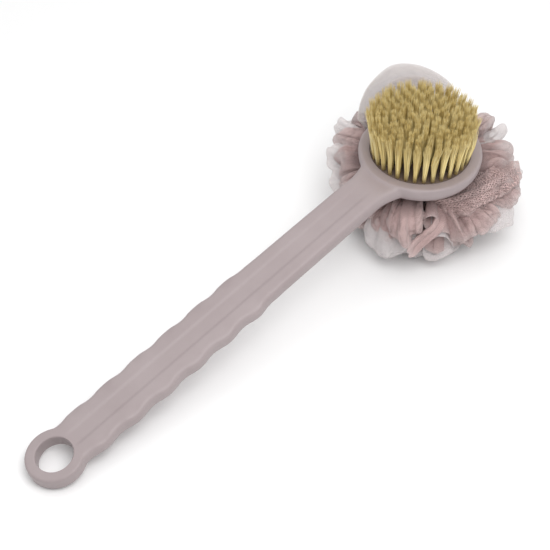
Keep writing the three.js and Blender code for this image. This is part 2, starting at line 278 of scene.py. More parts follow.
def moulded_plastic(name, roughness, scale, detail, colours, bump_strength, bump_distance):
    """A plain moulded plastic with a faintly cloudy colour."""
    material, shader = new_material(name, roughness)
    cloud = object_noise(material, scale, detail)
    tint = ramp(material, cloud, "Fac", colours)
    link(tint, "Color", shader, "Base Color")
    add_bump(material, shader, cloud, "Fac", bump_strength, bump_distance)
    return material


def plate_plastic():
    # Painted shade: the plate is the handle's mauve plastic, and this dark brown stands in for the shadow
    # that the dense tufts cast on it.
    colours = [(0.3, (0.115, 0.080, 0.060)), (0.75, (0.175, 0.130, 0.105))]
    return moulded_plastic("plate_plastic", 0.6, 60.0, 5.0, colours, 0.2, 0.0003)


def washer_plastic():
    colours = [(0.3, (0.74, 0.71, 0.68)), (0.7, (0.80, 0.77, 0.74))]
    return moulded_plastic("washer_plastic", 0.45, 120.0, 3.0, colours, 0.1, 0.0002)


def bristle_nylon():
    """Cream-yellow filament. Attribute tone is its own shade, attribute along runs from root to tip."""
    material, shader = new_material("bristle_nylon", 0.38)
    body = ramp(material, attribute(material, "tone"), "Fac", [
        (0.0, (0.65, 0.49, 0.175)),
        (0.5, (0.87, 0.71, 0.31)),
        (1.0, (0.98, 0.87, 0.49)),
    ])
    # Painted shade: each filament is darker at its root, where the tufts shade one another, and darker
    # towards its tip.
    shade = ramp(material, attribute(material, "along"), "Fac", [
        (0.0, (0.72, 0.67, 0.60)),
        (0.2, (1.0, 1.0, 1.0)),
        (0.65, (1.0, 1.0, 1.0)),
        (1.0, (0.74, 0.72, 0.70)),
    ])
    tint = node(material, "ShaderNodeVectorMath", {"operation": "MULTIPLY"})
    link(body, "Color", tint, 0)
    link(shade, "Color", tint, 1)
    link(tint, "Vector", shader, "Base Color")
    add_bump(material, shader, object_noise(material, 1400.0, 2.0), "Fac", 0.15, 0.0001)
    shader.inputs["Specular IOR Level"].default_value = 0.45
    return material


# Painted sheen: near the turn of a loop the netting is lightened towards this colour.
EDGE_SHEEN_COLOUR = (0.80, 0.72, 0.71)
EDGE_SHEEN = 0.4
EDGE_OPENNESS = 0.5
# Painted shade: the crease attribute darkens the netting at the bottom of each crease and against the
# head's wall.
CREASE_SHADE = 0.6                  # of the netting's colour, at the bottom of a crease
MESH_LEAN = math.radians(28)        # of the knitting, against the loop's length
MESH_SQUASH = 0.85                  # of a cell, along the loop
MESH_IRREGULARITY = 0.6
FUZZ_SPREAD = 0.12


def net_mesh(material, cell):
    """Distance from the nearest thread of the knitting, as a share of its cells."""
    flat = node(material, "ShaderNodeUVMap", {"uv_map": "cloth"})
    stretch = node(material, "ShaderNodeMapping")
    stretch.inputs["Scale"].default_value = (1 / cell, MESH_SQUASH / cell, 1)
    stretch.inputs["Rotation"].default_value = (0, 0, MESH_LEAN)
    link(flat, "UV", stretch, "Vector")
    kind = {"voronoi_dimensions": "2D", "feature": "DISTANCE_TO_EDGE"}
    mesh = node(material, "ShaderNodeTexVoronoi", kind, Scale=1.0, Randomness=MESH_IRREGULARITY)
    link(stretch, "Vector", mesh, "Vector")
    return mesh


def net_material(name, colours, cell, thread, veil, dip, sheen_share=EDGE_SHEEN):
    """Knitted netting. cell is its pitch in millimetres, thread the share of a cell that a thread covers,
    veil how much shows in the meshes, where further layers and fine fuzz close them, and dip how much
    darker those are, as painted shade of the layers behind. Towards the turn of a loop (attribute edge)
    the netting is more open and a painted sheen lightens it, and along each crease and against the head's
    wall (attribute crease) painted shade darkens it."""
    material, shader = new_material(name, 0.75)
    mesh = net_mesh(material, cell)
    cloud = object_noise(material, 45.0, 3.0)
    edge = attribute(material, "edge")
    yarn = remapped(material, mesh, "Distance", thread * 0.6, thread * 1.3, 1.0, 0.0,
                    interpolation_type="SMOOTHSTEP")
    fuzz = remapped(material, cloud, "Fac", 0.3, 0.7, veil - FUZZ_SPREAD, veil + FUZZ_SPREAD)
    thinned = remapped(material, edge, "Fac", 0, 1, 1.0, 1.0 - EDGE_OPENNESS)
    closed = combined(material, "MULTIPLY", (fuzz, "Result"), (thinned, "Result"))
    cover = combined(material, "MAXIMUM", (yarn, "Result"), (closed, "Value"))
    link(cover, "Value", shader, "Alpha")
    tint = ramp(material, cloud, "Fac", [(0.3, colours[0]), (0.7, colours[1])])
    # Painted shade: the netting darkens away from its threads, for the shaded layers seen through the
    # meshes.
    depth = remapped(material, mesh, "Distance", thread, thread * 3.0, 1.0, 1.0 - dip)
    # Painted shade: the netting darkens along each crease and beside the head's wall.
    painted_crease_shade = remapped(material, attribute(material, "crease"), "Fac", 0, 1, 1.0, CREASE_SHADE)
    shade = combined(material, "MULTIPLY", (depth, "Result"), (painted_crease_shade, "Result"))
    shaded = node(material, "ShaderNodeVectorMath", {"operation": "SCALE"})
    link(tint, "Color", shaded, "Vector")
    link(shade, "Value", shaded, "Scale")
    # Painted sheen: the colour is lightened towards the turn of a loop.
    edge_sheen = node(material, "ShaderNodeMix", {"data_type": "RGBA"})
    edge_sheen.inputs["B"].default_value = (*EDGE_SHEEN_COLOUR, 1)
    link(remapped(material, edge, "Fac", 0, 1, 0.0, sheen_share), "Result", edge_sheen, "Factor")
    link(shaded, "Vector", edge_sheen, "A")
    link(edge_sheen, "Result", shader, "Base Color")
    add_bump(material, shader, yarn, "Result", 0.35, 0.0003)
    shader.inputs["Sheen Weight"].default_value = 0.25
    shader.inputs["Specular IOR Level"].default_value = 0.25
    return material


def cord_fibre():
    material, shader = new_material("cord_fibre", 0.8)
    place = node(material, "ShaderNodeTexCoord")
    bands = {"bands_direction": "DIAGONAL"}
    twist = node(material, "ShaderNodeTexWave", bands, Scale=420.0, Distortion=1.5)
    link(place, "Object", twist, "Vector")
    tint = ramp(material, twist, "Fac", [(0.2, (0.50, 0.42, 0.42)), (0.8, (0.72, 0.65, 0.65))])
    link(tint, "Color", shader, "Base Color")
    add_bump(material, shader, twist, "Fac", 0.6, 0.0004)
    shader.inputs["Sheen Weight"].default_value = 0.2
    return material


# ---- Mesh helpers ------------------------------------------------------------

def make_object(name, points, faces, scale=MM):
    mesh = bpy.data.meshes.new(name)
    mesh.from_pydata((np.asarray(points) * scale).tolist(), [], faces)
    mesh.update()
    made = bpy.data.objects.new(name, mesh)
    bpy.context.scene.collection.objects.link(made)
    return made


def dress(piece, material):
    piece.data.materials.clear()
    piece.data.materials.append(material)


def finish_piece(piece, material, body, node_name):
    dress(piece, material)
    piece.data.polygons.foreach_set("use_smooth", [True] * len(piece.data.polygons))
    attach(piece, body)
    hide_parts(node_name)


def store(piece, **columns):
    """Keeps values of the points, under names that the materials read."""
    for name, values in columns.items():
        piece.data.attributes.new(name, "FLOAT", "POINT").data.foreach_set("value", values)


def smoothstep(value, low, high):
    share = np.clip((value - low) / (high - low), 0, 1)
    return share * share * (3 - 2 * share)


ARC_STEPS = 8


def arc_points(centre_radius, centre_height, radius, start, stop):
    angles = np.radians(np.linspace(start, stop, ARC_STEPS + 1))
    return [(centre_radius + radius * math.cos(a), centre_height + radius * math.sin(a)) for a in angles]


def skin(rings, count, start=0):
    """Quads between rings of count points each that follow one another from the point start."""
    faces = []
    for low in range(start, start + (rings - 1) * count, count):
        for step in range(count):
            after = (step + 1) % count
            faces.append((low + step, low + after, low + count + after, low + count + step))
    return faces


def closed_skin(rings, count, start=0):
    """Such a skin with a face across its last and its first ring."""
    last = start + (rings - 1) * count
    caps = [tuple(range(last, last + count)), tuple(range(start, start + count))[::-1]]
    return skin(rings, count, start) + caps


def lofted(rings):
    """Points and faces of a closed bar through rings of equal length."""
    return np.concatenate(rings), closed_skin(len(rings), len(rings[0]))


def turned(profile, segments):
    """Points and faces of a solid of revolution about +Z."""
    angles = 2 * np.pi * np.arange(segments) / segments
    return lofted([[(r * math.cos(a), r * math.sin(a), z) for a in angles] for r, z in profile])


def outward(piece):
    """Turns every face of a closed mesh outwards."""
    work = bmesh.new()
    work.from_mesh(piece.data)
    bmesh.ops.recalc_face_normals(work, faces=work.faces)
    work.to_mesh(piece.data)
    work.free()


def bake_modifiers(piece):
    graph = bpy.context.evaluated_depsgraph_get()
    mesh = bpy.data.meshes.new_from_object(piece.evaluated_get(graph))
    piece.modifiers.clear()
    piece.data = mesh


def add_smoother(piece, iterations, group=""):
    smoother = piece.modifiers.new("smoother", "SMOOTH")
    smoother.factor = 0.5
    smoother.iterations = iterations
    smoother.vertex_group = group


def cut(piece, cutter):
    modifier = piece.modifiers.new("cut", "BOOLEAN")
    modifier.operation = "DIFFERENCE"
    modifier.solver = "MANIFOLD"
    modifier.object = cutter
    bake_modifiers(piece)
    bpy.data.objects.remove(cutter)


# ---- Handle ------------------------------------------------------------------

BEND_START = BEND_CENTRE - BEND_RADIUS * math.tan(HANDLE_BEND / 2)
BEND_LENGTH = BEND_RADIUS * HANDLE_BEND
WAVE_END = FIRST_CREST + WAVE_PITCH * (WAVE_COUNT - 0.5)
NECK_END = RING_DISTANCE - HEAD_RADIUS
ON_AXIS = 0.01                      # radius at which a turned solid is closed
VOXEL = 0.62
MOULDING_SMOOTHING = 7
NECK_SMOOTHING = 60
CREST_ROLL = 0.7                    # how far the face falls away beside a crest of the grip
SHARP_ANGLE = math.radians(42)


def upper_face(distance):
    """Point and slope of the handle's upper face, at a distance from the head's centre."""
    slope = min(max((distance - BEND_START) / BEND_RADIUS, 0), HANDLE_BEND)
    straight = max(0, distance - BEND_START - BEND_LENGTH)
    reach = min(distance, BEND_START) + BEND_RADIUS * math.sin(slope) + straight * math.cos(HANDLE_BEND)
    drop = BEND_RADIUS * (1 - math.cos(slope)) + straight * math.sin(HANDLE_BEND)
    return -reach, -drop, slope


def wave_fade(from_ring):
    return 1 - smoothstep(from_ring, WAVE_END - WAVE_PITCH / 2, WAVE_END + WAVE_PITCH / 2)


def wave(from_ring):
    """From -1 in a trough to 1 on a crest of the wavy grip, fading out on the shaft."""
    return np.cos(2 * np.pi * (from_ring - FIRST_CREST) / WAVE_PITCH) * wave_fade(from_ring)


def handle_half_width(from_ring):
    fade = wave_fade(from_ring)
    mean = SHAFT_HALF_WIDTH + (GRIP_HALF_WIDTH - SHAFT_HALF_WIDTH) * fade
    neck = smoothstep(from_ring, WAVE_END, NECK_END) * (SHAFT_HALF_WIDTH - NECK_HALF_WIDTH)
    flare = NECK_FLARE * smoothstep(from_ring, NECK_END - 16, NECK_END + 6) ** 2
    return mean + WAVE_HEIGHT * wave(from_ring) - neck + flare


def handle_thickness(from_ring):
    grip = RING_THICKNESS + (GRIP_THICKNESS - RING_THICKNESS) * smoothstep(from_ring, RING_RADIUS, 60)
    return grip + (NECK_THICKNESS - grip) * smoothstep(from_ring, WAVE_END, NECK_END)


def bar_section(distance):
    from_ring = RING_DISTANCE - distance
    half = handle_half_width(from_ring)
    thickness = handle_thickness(from_ring)
    inner = half - EDGE_RADIUS
    top = [(across, 0.0) for across in np.linspace(0, inner, 9)[:-1]]
    upper = arc_points(inner, EDGE_RADIUS, EDGE_RADIUS, -90, 0)
    lower = arc_points(inner, thickness - EDGE_RADIUS, EDGE_RADIUS, 0, 90)
    under = [(across, thickness) for across in np.linspace(inner, 0, 9)[1:]]
    side = np.array(top + upper + lower + under)
    mirrored = side[1:-1][::-1] * (-1, 1)
    outline = np.concatenate([side, mirrored])
    x, z, slope = upper_face(distance)
    return np.stack([
        x + outline[:, 1] * math.sin(slope),
        outline[:, 0],
        z - outline[:, 1] * math.cos(slope),
    ], axis=1)


def at_ring(points, faces):
    """Places a solid drawn about a level ring face at the hanging ring."""
    x, z, slope = upper_face(RING_DISTANCE)
    lean_x = points[:, 0] * math.cos(slope) - points[:, 2] * math.sin(slope)
    lean_z = points[:, 0] * math.sin(slope) + points[:, 2] * math.cos(slope)
    return np.stack([lean_x + x, points[:, 1], lean_z + z], axis=1), faces


def ring_disc():
    edge = RING_RADIUS - RING_EDGE_RADIUS
    return at_ring(*turned(
        [(ON_AXIS, -RING_THICKNESS)]
        + arc_points(edge, -RING_THICKNESS + RING_EDGE_RADIUS, RING_EDGE_RADIUS, -90, 0)
        + arc_points(edge, -RING_EDGE_RADIUS, RING_EDGE_RADIUS, 0, 90)
        + [(ON_AXIS, 0)], 96))


def hole_cutter():
    round_off = HOLE_EDGE_RADIUS
    outside = HANGING_HOLE_RADIUS + round_off
    return at_ring(*turned(
        [(outside, -RING_THICKNESS - 1)]
        + arc_points(outside, -RING_THICKNESS + round_off, -round_off, 90, 0)
        + arc_points(outside, -round_off, -round_off, 0, -90)
        + [(outside, 1)], 96))


def head_bowl():
    crest = HEAD_RADIUS - RIM_EDGE_RADIUS
    wall = [
        (HEAD_BACK_RADIUS, -HEAD_DEPTH),
        (HEAD_RADIUS - 6.5, -HEAD_DEPTH + 1.3),
        (HEAD_RADIUS - 2.4, -HEAD_DEPTH + 3.8),
        (HEAD_RADIUS - 0.5, -HEAD_DEPTH + 7.4),
    ]
    return turned(
        [(ON_AXIS, -HEAD_DEPTH)] + wall
        + arc_points(crest, -RIM_EDGE_RADIUS, RIM_EDGE_RADIUS, 0, 90)
        + [(RIM_CREST_RADIUS - 0.9, -0.15), (CUP_RADIUS + 1.2, -CUP_SHOULDER * 0.6),
           (CUP_RADIUS, -CUP_SHOULDER), (ON_AXIS, -CUP_SHOULDER)], 160)


def head_hollow():
    ledge = -CUP_SHOULDER - PLATE_THICKNESS - GAP
    floor = -HEAD_DEPTH + HEAD_FLOOR
    return turned([
        (CORD_HOLE_RADIUS, -HEAD_DEPTH - 1),
        (CORD_HOLE_RADIUS, floor),
        (CAVITY_RADIUS, floor),
        (CAVITY_RADIUS, ledge),
        (CUP_RADIUS, ledge),
        (CUP_RADIUS, 2),
    ], 128)


def soften_neck(piece):
    """Rounds the inner corner where the neck runs into the head."""
    points = vertex_array(piece)
    away = np.hypot(points[:, 0], points[:, 1])
    reach = smoothstep(away, 36, 41) * (1 - smoothstep(away, 50, 60))
    side = smoothstep(-points[:, 0], 20, 30)
    below = smoothstep(-points[:, 2], 1.5, 4)
    corner = smoothstep(np.abs(points[:, 1]), 7, 12)
    weights = reach * side * np.maximum(below, corner)
    group = piece.vertex_groups.new(name="neck")
    for index in np.nonzero(weights > 0.02)[0]:
        group.add([int(index)], float(weights[index]), "REPLACE")
    add_smoother(piece, NECK_SMOOTHING, "neck")
    bake_modifiers(piece)


def vertex_array(piece):
    points = np.zeros(len(piece.data.vertices) * 3)
    piece.data.vertices.foreach_get("co", points)
    return points.reshape(-1, 3)


def press_channel(piece):
    """Sinks the shallow channel along the upper face and rolls the face down beside each crest."""
    points = vertex_array(piece)
    stations = np.linspace(0, RING_DISTANCE + 20, 640)
    faces = np.array([upper_face(d) for d in stations])
    distance = np.interp(-points[:, 0], -faces[:, 0], stations)
    face_z = np.interp(distance, stations, faces[:, 1])
    slope = np.interp(distance, stations, faces[:, 2])
    down = (face_z - points[:, 2]) * np.cos(slope)
    from_ring = RING_DISTANCE - distance
    near_face = 1 - smoothstep(np.abs(down), 1.2, 3.2)
    across = np.abs(points[:, 1])
    start = smoothstep(from_ring, HANGING_HOLE_RADIUS - 2, HANGING_HOLE_RADIUS + 6)
    end = 1 - smoothstep(from_ring, NECK_END - 26, NECK_END - 4)
    floor = 1 - smoothstep(across, CHANNEL_HALF_WIDTH - CHANNEL_SLOPE, CHANNEL_HALF_WIDTH)
    depth = CHANNEL_DEPTH * start * end * floor * near_face
    crest = np.clip(wave(from_ring), 0, 1) ** 1.5
    roll = CREST_ROLL * crest * smoothstep(across, 8.5, 14.5) * (1 - smoothstep(down, 2.0, 5.5))
    depth = depth + roll * (down > -1) * smoothstep(from_ring, RING_RADIUS, RING_RADIUS + 6)
    points[:, 0] += depth * np.sin(slope)
    points[:, 2] -= depth * np.cos(slope)
    piece.data.vertices.foreach_set("co", points.ravel())
    piece.data.update()


def add_handle(material):
    stations = np.linspace(HEAD_RADIUS - 8, RING_DISTANCE - HANGING_HOLE_RADIUS + 4, 260)
    solids = [lofted([bar_section(d) for d in stations]), ring_disc(), head_bowl()]
    points, faces, offset = [], [], 0
    for solid_points, solid_faces in solids:
        points.append(solid_points)
        faces += [tuple(index + offset for index in face) for face in solid_faces]
        offset += len(solid_points)
    piece = make_object("handle_moulding", np.concatenate(points), faces, 1)
    outward(piece)
    remesh = piece.modifiers.new("remesh", "REMESH")
    remesh.mode = "VOXEL"
    remesh.voxel_size = VOXEL
    add_smoother(piece, MOULDING_SMOOTHING)
    bake_modifiers(piece)
    soften_neck(piece)
    press_channel(piece)
    for shape in (head_hollow(), hole_cutter()):
        cutter = make_object("cutter", *shape, 1)
        outward(cutter)
        cut(piece, cutter)
    points = (vertex_array(piece) + (HEAD_X, HEAD_Y, CREST_Z)) * MM
    piece.data.vertices.foreach_set("co", points.ravel())
    piece.data.update()
    finish_piece(piece, material, "brush", "handle")
    piece.data.set_sharp_from_angle(angle=SHARP_ANGLE)


# ---- Bristles ----------------------------------------------------------------

FILAMENTS = 30
FILAMENT_SIDES = 4
FILAMENT_RADIUS = 0.25
FILAMENT_LEVELS = (0.0, 0.3, 0.55, 0.76, 0.9, 1.0)
FILAMENT_TAPER = (1.0, 1.0, 1.0, 0.9, 0.62, 0.2)
TUFT_TIP_SPREAD = 1.4               # of the filaments at their ends, against the tuft's root
OUTER_TIP_SPREAD = 2.3
FILAMENT_BULGE = 0.22               # of the tuft half way up, likewise
OUTER_BULGE = -0.45                 # the outer tufts stay slim and open out near their ends
OUTER_ROOT_SHARE = 0.85
GOLDEN_ANGLE = 2.39996              # in radians, from one filament of a tuft to the next
BRISTLE_SEED = 7


def filament(base, tip, bow, sway, draw):
    """Rings of one filament from base to tip, bowed to one side and then swaying to the other."""
    rings = []
    spin = draw.uniform(0, math.pi)
    angles = spin + 2 * np.pi * np.arange(FILAMENT_SIDES) / FILAMENT_SIDES
    ring = np.stack([np.cos(angles), np.sin(angles), np.zeros(FILAMENT_SIDES)], axis=1)
    for level, taper in zip(FILAMENT_LEVELS, FILAMENT_TAPER):
        centre = base + (tip - base) * level
        centre = centre + bow * math.sin(math.pi * level) + sway * math.sin(2.6 * math.pi * level) * level
        rings.append(centre + ring * FILAMENT_RADIUS * taper)
    return rings


def level_draw(draw, spread):
    """A random sideways offset."""
    return np.append(draw.normal(0, spread, 2), 0)


def tuft_filaments(radius, angle, splay, outer, draw):
    """Filaments of one tuft, side by side from their hole up to a ragged blunt end."""
    outwards = np.array([math.cos(angle), math.sin(angle), 0])
    root = outwards * radius + (0, 0, -CUP_SHOULDER - 0.4)
    tip = root + outwards * splay + level_draw(draw, 0.45)
    tip = tip + (0, 0, TUFT_LENGTH * draw.uniform(0.98, 1.0))
    bow = level_draw(draw, 0.35)
    sway = level_draw(draw, 0.4)
    shade = draw.uniform(-0.12, 0.12)
    spread_out = OUTER_TIP_SPREAD if outer else TUFT_TIP_SPREAD
    bulge = OUTER_BULGE if outer else FILAMENT_BULGE
    root_radius = TUFT_ROOT_RADIUS * (OUTER_ROOT_SHARE if outer else 1)
    made = []
    for index in range(FILAMENTS):
        turn = index * GOLDEN_ANGLE + draw.uniform(-0.2, 0.2)
        spread = math.sqrt((index + 0.5) / FILAMENTS)
        offset = np.array([math.cos(turn), math.sin(turn), 0]) * spread * root_radius
        end = root + (tip - root) * draw.uniform(0.94, 1.01) + offset * spread_out
        own_bow = bow + offset * bulge + level_draw(draw, 0.12)
        rings = filament(root + offset, end + level_draw(draw, 0.16), own_bow, sway, draw)
        made.append((rings, min(max(draw.uniform(0.1, 0.9) + shade, 0), 1)))
    return made


def add_bristle_row(row, material, draw):
    if row:
        radius = OUTER_ROW_RADIUS * row / ROW_COUNT
        count = round(TUFTS_IN_OUTER_ROW * row / ROW_COUNT)
        splay = TUFT_SPLAY * row / ROW_COUNT
        name, node_name = f"tufts_row_{row}", f"bristle_row_{row}"
    else:
        radius, count, splay = 0, 1, 0
        name, node_name = "tuft_centre", "bristle_tuft_centre"
    points, faces, tones, alongs = [], [], [], []
    for index in range(count):
        angle = 2 * math.pi * (index + 0.5) / count
        for rings, tone in tuft_filaments(radius, angle, splay, row == ROW_COUNT, draw):
            start = len(points) * FILAMENT_SIDES
            for level, ring in zip(FILAMENT_LEVELS, rings):
                points.append(ring)
                tones += [tone] * FILAMENT_SIDES
                alongs += [level] * FILAMENT_SIDES
            faces += closed_skin(len(rings), FILAMENT_SIDES, start)
    placed = np.concatenate(points) + (HEAD_X, HEAD_Y, CREST_Z)
    piece = make_object(name, placed, faces)
    store(piece, tone=tones, along=alongs)
    finish_piece(piece, material, "brush", node_name)


# ---- Noise for crumpled netting ----------------------------------------------

def lattice(ix, iy, iz, seed):
    """A repeatable value from -1 to 1 at each whole-numbered point."""
    mixed = (ix * 73856093) ^ (iy * 19349663) ^ (iz * 83492791) ^ (seed * 2654435761)
    mixed = (mixed ^ (mixed >> 13)) * 1274126177
    mixed = mixed ^ (mixed >> 16)
    return (mixed & 0xFFFF) / 32767.5 - 1


def smooth_noise(points, seed):
    base = np.floor(points).astype(np.int64)
    part = points - base
    part = part * part * (3 - 2 * part)
    total = np.zeros(len(points))
    for corner in range(8):
        step = np.array([corner & 1, (corner >> 1) & 1, (corner >> 2) & 1])
        cell = base + step
        weight = np.prod(np.where(step, part, 1 - part), axis=1)
        total += weight * lattice(cell[:, 0], cell[:, 1], cell[:, 2], seed)
    return total


def crease_noise(points, seed):
    """Sharp valleys between rounded swells, as in netting that was crushed and sprang back."""
    return np.abs(smooth_noise(points, seed)) * 2 - 0.6


# ---- Pouf --------------------------------------------------------------------

ACROSS = 49
ALONG = 89
SPINE_STEPS = 80
PATH_STEPS = 120
NECK_CLEAR_HALF_ANGLE = 52.0         # the swivel carries the netting this far towards the neck
UNDER_NECK = HEAD_BACK_Z - 4.5
GATHER_RADIUS = 7.0
# Painted sheen: the edge attribute lightens the netting near the turn of a loop.
EDGE_SHARPNESS = 14                  # how near its turn a loop gets pale
CREASE_LAYERS = (                    # width, length, depth, and the seed's shift
    (12, 22, 2.6, 0),
    (6.5, 11, 1.1, 50),
    (3.0, 4.8, 0.5, 70),
)
JOSTLE_SIZE = 17
JOSTLE_DEPTH = 4.0
PACKED_BOTTOM = 0.35                 # heights between which the lowest netting is pressed flat
PACKED_TOP = 2.0
DRAPED = dict(loop=3.0, cup=60.0, pleats=2.0, root=0.5, ruffle=1.0)
CORE_BORE = 1.7
CORE_WAIST = 8.0                     # radius under the cinch
CORE_FLARE = 2.6                     # how much wider it is at its ends


def spine(reach, rise, bend_at):
    """Radial and vertical run of a petal's middle line, and its slope, at even steps of its length."""
    steps = np.linspace(0, 1, SPINE_STEPS)
    turn = smoothstep(steps, bend_at - 0.45, 1.0)
    slope = np.radians(rise[0] + (rise[1] - rise[0]) * turn)
    stride = reach / (len(steps) - 1)
    radial = np.concatenate([[0], np.cumsum(np.cos(slope[:-1]) * stride)])
    vertical = np.concatenate([[0], np.cumsum(np.sin(slope[:-1]) * stride)])
    return steps, radial, vertical, slope


def gathered_loop(width, length, seed, loop=5.0, cup=0.0, pleats=3.0, twist=0.0, tip=0.3, root=0.3,
                  crumple=1.0, ruffle=2.2, mouth=0.0, folds=0):
    """Shape of one loop of netting before it is placed.

    It runs out from the gather, turns over at its rounded end and comes back. cup is how far round the
    sides curl in degrees (down if positive), tip how much shorter the sides are than the middle, root
    the width share at the gather. Returns the share of the way out, the offsets to the side and up, how
    far each point is from the gather, its cloth place and how deep in a crease it lies (0 to 1).
    """
    draw = np.random.default_rng(seed)
    phases = draw.uniform(0, 2 * np.pi, 6)
    a = np.linspace(-1, 1, ACROSS)[None, :] * np.ones((ALONG, 1))
    b = np.linspace(0, 1, ALONG)[:, None] * np.ones((1, ACROSS))
    out = np.sin(np.pi * b) ** 0.8
    ragged = 0.025 * np.sin(5.1 * a + phases[4]) + 0.012 * np.sin(9.7 * a + phases[5])
    shortened = tip * np.abs(a) ** 2.4 + mouth * (0.5 + 0.5 * np.cos(np.pi * a))
    station = np.clip(out * (0.97 - shortened + min(crumple, 1) * ragged), 0, 1)

    half = width / 2 * (root + (1 - root) * out ** 0.8)
    curl = np.radians(max(abs(cup), 1.0)) * (1 if cup >= 0 else -1)
    angle = a * abs(curl)
    side = half * np.sin(angle) / abs(curl)
    offset = -half * (1 - np.cos(angle)) / curl
    offset = offset + loop * np.sin(2 * np.pi * b) * (1 - 0.35 * a * a)

    gather = (1 - 0.62 * out) * (0.35 + 0.65 * out)
    offset = offset + 4.0 * gather * np.cos(np.pi * pleats * a + phases[0] + 1.1 * out)
    side = side + 1.3 * gather * np.sin(2 * np.pi * pleats * a + phases[0])
    offset = offset + ruffle * out ** 2 * np.sin(3.0 * a + phases[1] + 2.2 * b)
    offset = offset + 0.5 * ruffle * out ** 3 * np.sin(6.3 * a + phases[2] - 3.0 * b)
    if folds:
        across = 2 * np.pi * folds * station + 1.4 * np.sin(2.3 * a + phases[3]) + 0.9 * a
        offset = offset + 1.1 * np.sin(across) + 0.5 * np.sin(2.3 * across + phases[1])

    turn = np.radians(twist) * out
    side, offset = (side * np.cos(turn) - offset * np.sin(turn),
                    side * np.sin(turn) + offset * np.cos(turn))

    rough, wander, crease = crumpled(a, b, station, width, length, seed)
    offset = offset + crumple * rough * (0.3 + 0.7 * out) * (1 - 0.5 * out ** 6)
    side = side + crumple * 1.8 * wander * out
    cloth = np.stack([a * width * 0.75 + seed * 31.7, b * length * 2.1 + seed * 17.3], axis=-1)
    return station, side, offset, out, cloth, crease * min(crumple, 1)


def petal(azimuth, height, reach, rise, width, seed, bend_at=0.5, crumple=1.0, **settings):
    """One loop of netting that leaves the gather at an azimuth.

    Angles are in degrees and lengths in millimetres. rise is the slope at the root and at the end.
    """
    station, side, offset, out, cloth, crease = gathered_loop(
        width, reach, seed, crumple=crumple, **settings)
    steps, radial, vertical, slope = spine(reach, rise, bend_at)
    lean = np.interp(station, steps, slope)
    level = np.interp(station, steps, radial) - offset * np.sin(lean) + GATHER_RADIUS
    around = math.radians(azimuth) + side / np.maximum(level, 12)
    grid = np.stack([
        level * np.cos(around),
        level * np.sin(around),
        height + np.interp(station, steps, vertical) + offset * np.cos(lean),
    ], axis=-1)
    return kept_clear(jostled(grid, out, crumple)), cloth, out, crease


def smooth_path(stops):
    """A smooth curve through stops given as (azimuth, radius, height)."""
    azimuths, radii, heights = np.array(stops, float).T
    turns = np.radians(azimuths)
    knots = np.stack([radii * np.cos(turns), radii * np.sin(turns), heights], axis=1)
    knots = np.concatenate([[2 * knots[0] - knots[1]], knots, [2 * knots[-1] - knots[-2]]])
    curve = []
    for place in np.linspace(0, len(stops) - 1 - 1e-6, PATH_STEPS):
        first = int(place)
        t = place - first
        p0, p1, p2, p3 = knots[first:first + 4]
        curve.append(0.5 * (2 * p1 + (p2 - p0) * t + (2 * p0 - 5 * p1 + 4 * p2 - p3) * t * t
                            + (3 * p1 - p0 - 3 * p2 + p3) * t ** 3))
    return np.array(curve)


def draped(stops, width, seed, **settings):
    """One loop of netting that follows a curve through stops given as (azimuth, radius, height)."""
    curve = smooth_path(stops)
    strides = np.linalg.norm(np.diff(curve, axis=0), axis=1)
    travelled = np.concatenate([[0], np.cumsum(strides)])
    ahead = np.gradient(curve, travelled, axis=0)
    outwards = curve * (1, 1, 0) / np.maximum(np.hypot(curve[:, 0], curve[:, 1]), 1)[:, None] + (0, 0, 1)
    aside = np.cross(ahead, outwards)
    aside /= np.linalg.norm(aside, axis=1)[:, None]
    above = np.cross(aside, ahead)
    above /= np.linalg.norm(above, axis=1)[:, None]
    station, side, offset, out, cloth, crease = gathered_loop(
        width, travelled[-1], seed, **{**DRAPED, **settings})

    def at_station(values):
        shares = travelled / travelled[-1]
        return np.stack([np.interp(station, shares, column) for column in values.T], axis=-1)

    grid = at_station(curve) + side[..., None] * at_station(aside) + offset[..., None] * at_station(above)
    return kept_clear(grid), cloth, out, crease


def crumpled(a, b, station, width, reach, seed):
    """Creases that run mostly out from the gather, in three sizes, a slow wander to the sides, and how
    deep in a crease each point lies."""
    rough = np.zeros(a.shape)
    flat = np.ones(a.shape)
    for size, length, depth, layer in CREASE_LAYERS:
        noise = crease_noise if layer else smooth_noise
        spots = np.stack([
            a * width / size + seed * 7.3,
            station * reach / length + seed * 1.9,
            b * 30 / size + seed,
        ], axis=-1)
        swell = noise(spots.reshape(-1, 3), seed + layer).reshape(a.shape)
        rough += depth * swell
        if layer:
            flat *= 1 - 0.7 * (1 - smoothstep(swell, -0.6, -0.25))
    slow = np.stack([a * width / 18 + seed, station * reach / 18, b * 2 + seed], axis=-1)
    return rough, smooth_noise(slow.reshape(-1, 3), seed + 90).reshape(a.shape), 1 - flat


def jostled(grid, out, crumple):
    """Neighbouring loops push each other about: one slow disturbance runs through all of them."""
    points = grid.reshape(-1, 3)
    moved = np.stack([smooth_noise(points / JOSTLE_SIZE + shift, 300 + axis) for axis, shift in
                      enumerate((11.3, 47.1, 83.9))], axis=-1)
    return grid + JOSTLE_DEPTH * min(crumple, 1) * out[..., None] * moved.reshape(grid.shape)


